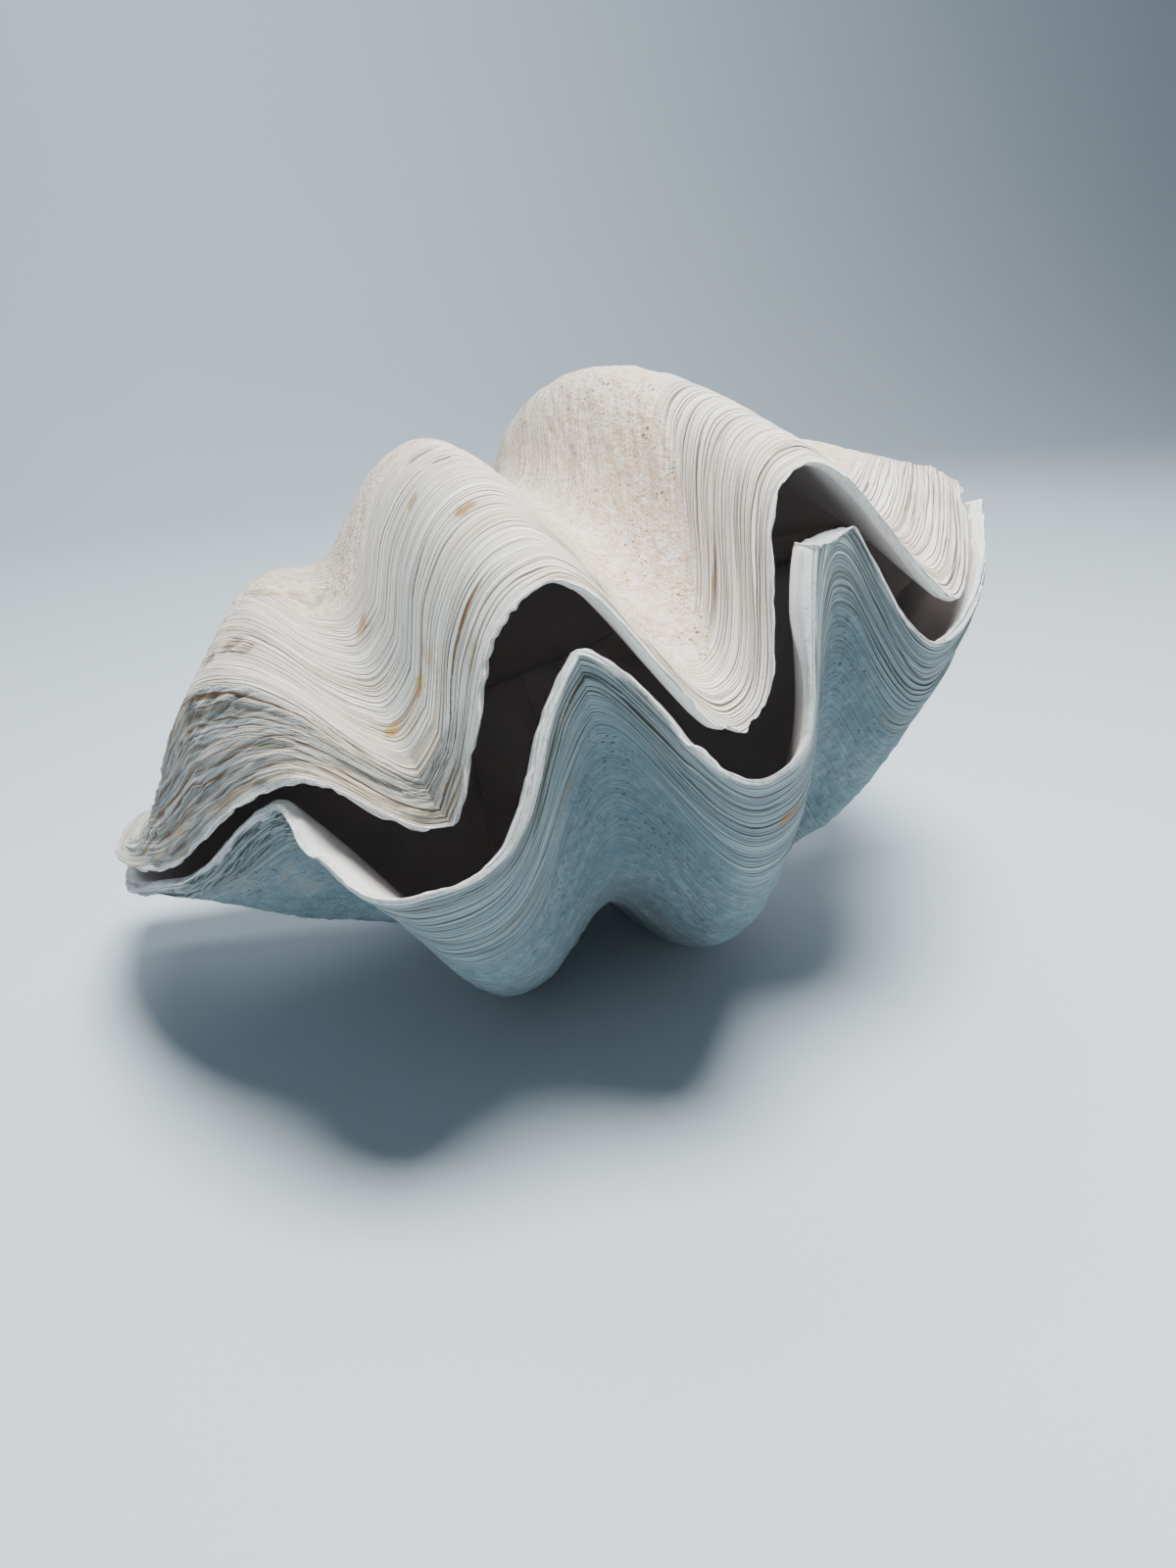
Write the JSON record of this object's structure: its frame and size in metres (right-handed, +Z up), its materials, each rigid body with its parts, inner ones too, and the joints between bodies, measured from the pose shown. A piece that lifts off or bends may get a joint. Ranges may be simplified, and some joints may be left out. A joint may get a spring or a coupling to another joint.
{
  "type": "giant clam shell",
  "caption": "Empty giant clam shell, the valves lying nearly closed and tilted, with deep rounded folds, a wavy gaping edge, growth lines and a porcelain white inside.",
  "frame": {"origin": "on the floor, under the middle of the whole shell's box", "axes": "+X along the shell's length, from its low end to its raised end; +Y back from the wavy free edge to the hinge; +Z up"},
  "size_m": [0.4488, 0.3234, 0.284],
  "materials": {
    "upper_valve_shell": "chalky white with worn brown growth lines",
    "lower_valve_shell": "chalky grey white with olive brown growth bands, smooth porcelain inside"
  },
  "bodies": {
    "root": {"upper_valve": "upper_valve_shell", "lower_valve": "lower_valve_shell"}
  },
  "joints": []
}
